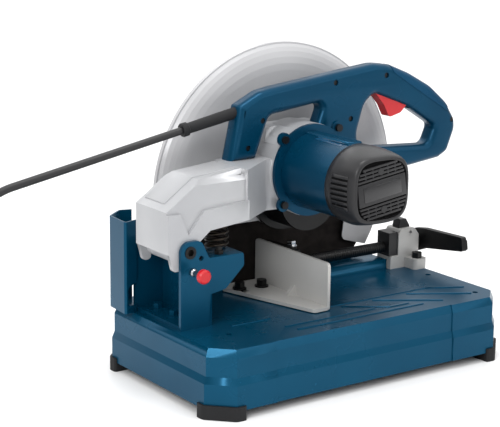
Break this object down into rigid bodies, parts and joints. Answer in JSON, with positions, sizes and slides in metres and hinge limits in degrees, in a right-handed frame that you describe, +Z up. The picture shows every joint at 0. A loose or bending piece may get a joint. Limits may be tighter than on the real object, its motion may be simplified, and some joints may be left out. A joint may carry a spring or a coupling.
{
  "type": "abrasive chop saw",
  "caption": "Bench chop saw with an abrasive wheel: pressed tray base, angle fence and quick vice, hinged motor arm with guard, D-grip handle and mains lead.",
  "frame": {"origin": "on the floor under the middle of the base, at the centre of the four bench holes through the feet", "axes": "+X towards the operator along the base, +Y towards the wheel side, +Z up"},
  "size_m": [0.9986, 0.347, 0.4197],
  "materials": {
    "blue_paint": "satin paint",
    "rubber": "matt",
    "cord_rubber": "satin",
    "cast_aluminium": "cast and painted silver",
    "guard_paint": "satin paint",
    "grey_paint": "satin paint",
    "steel": "machined",
    "black_steel": "blackened",
    "chrome": "bright",
    "red_plastic": "moulded",
    "blue_plastic": "moulded",
    "black_plastic": "moulded",
    "lever_paint": "satin paint",
    "badge": "blank",
    "abrasive": "resin-bonded grit",
    "copper": "bare",
    "carbon": "matt"
  },
  "bodies": {
    "base": {"base_tray": "blue_paint", "rubber_feet": "rubber", "pivot_bracket": "blue_paint", "pivot_pin": "steel", "pivot_clip": "steel", "base_screws": "black_steel", "spark_chute": "blue_paint", "depth_stop": "black_steel", "return_spring": "black_steel", "vice_block": "grey_paint", "vice_block_bolts": "black_steel", "vice_nut_cover": "black_plastic", "latch_pin": "steel", "fence_bolts": "black_steel", "cord_coil": "cord_rubber", "mains_plug": "cord_rubber"},
    "lock_pin": {"lock_pin": "steel", "lock_pin_button": "red_plastic"},
    "fence": {"fence_plate": "grey_paint"},
    "vice_carrier": {"jaw_carrier": "black_steel", "jaw_pivot_bolt": "chrome"},
    "vice_jaw": {"vice_jaw": "black_steel"},
    "vice_screw": {"vice_spindle": "black_steel", "crank_lever": "lever_paint", "crank_grip": "black_steel"},
    "latch": {"quick_release_latch": "black_plastic"},
    "trigger": {"trigger": "red_plastic"},
    "lock_button": {"spindle_lock_button": "black_plastic"},
    "armature": {"armature_shaft": "steel", "armature_core": "steel", "commutator": "copper", "cooling_fan": "black_plastic"},
    "spindle": {"wheel_spindle": "steel", "gear_wheel": "steel", "inner_flange": "steel", "cutting_wheel": "abrasive", "outer_flange": "steel", "wheel_bolt": "steel"},
    "lower_guard": {"retracting_guard": "guard_paint"},
    "arm": {"arm_casting": "cast_aluminium", "badge_plate": "badge", "ball_bearings": "steel", "brush_holders": "black_plastic", "carbon_brushes": "carbon", "field_coils": "copper", "field_core": "steel", "gear_case_cover": "cast_aluminium", "guard_inner_shell": "guard_paint", "guard_outer_shell": "guard_paint", "guard_screws": "black_steel", "handle_far_shell": "blue_plastic", "handle_near_shell": "blue_plastic", "handle_screws": "black_steel", "housing_screws": "black_steel", "mains_cord": "cord_rubber", "motor_end_cap": "black_plastic", "motor_housing": "blue_plastic", "strain_relief": "rubber", "switch_module": "black_plastic", "trigger_pin": "steel"}
  },
  "joints": [
    {"name": "arm_swing", "type": "hinge", "parent": "base", "child": "arm", "pos_m": [-0.211, 0, 0.187], "axis": [0, -1, 0], "range_deg": [0, 40], "deforming": ["return_spring"]},
    {"name": "lock_pin_pull", "type": "slide", "parent": "base", "child": "lock_pin", "axis": [0, -1, 0], "range_m": [0, 0.012]},
    {"name": "fence_turn", "type": "hinge", "parent": "base", "child": "fence", "pos_m": [-0.033, 0.062, 0.09], "axis": [0, 0, 1], "range_deg": [-12, 20]},
    {"name": "vice_slide", "type": "slide", "parent": "base", "child": "vice_carrier", "axis": [1, 0, 0], "range_m": [0, 0.14]},
    {"name": "jaw_swivel", "type": "hinge", "parent": "vice_carrier", "child": "vice_jaw", "pos_m": [0.02, 0.067, 0.137], "axis": [0, 0, 1], "range_deg": [-10, 10]},
    {"name": "crank_turn", "type": "hinge", "parent": "vice_carrier", "child": "vice_screw", "pos_m": [0.24, 0.067, 0.118], "axis": [1, 0, 0], "continuous": true},
    {"name": "latch_lift", "type": "hinge", "parent": "base", "child": "latch", "pos_m": [0.222, 0.065, 0.139], "axis": [0, 1, 0], "range_deg": [0, 40]},
    {"name": "trigger_squeeze", "type": "hinge", "parent": "arm", "child": "trigger", "pos_m": [0.182, 0.038, 0.335], "axis": [0, 1, 0], "range_deg": [0, 7], "stiffness_Nm_per_rad": 0.5, "springref_deg": -5.73},
    {"name": "spindle_lock_push", "type": "slide", "parent": "arm", "child": "lock_button", "axis": [-1, 0, 0], "range_m": [0, 0.0015], "stiffness_N_per_m": 300, "springref_m": -0.001},
    {"name": "wheel_spin", "type": "hinge", "parent": "arm", "child": "spindle", "pos_m": [0.022, 0.108, 0.22], "axis": [0, 1, 0], "continuous": true},
    {"name": "armature_spin", "type": "hinge", "parent": "arm", "child": "armature", "pos_m": [0.0048, 0, 0.2616], "axis": [0, 1, 0], "continuous": true},
    {"name": "guard_retract", "type": "hinge", "parent": "arm", "child": "lower_guard", "pos_m": [0.022, 0.1, 0.22], "axis": [0, 1, 0], "range_deg": [0, 60]}
  ],
  "couplings": [
    {"joint": "armature_spin", "follows": "wheel_spin", "ratio": -5},
    {"joint": "guard_retract", "follows": "arm_swing", "ratio": 1.5}
  ]
}
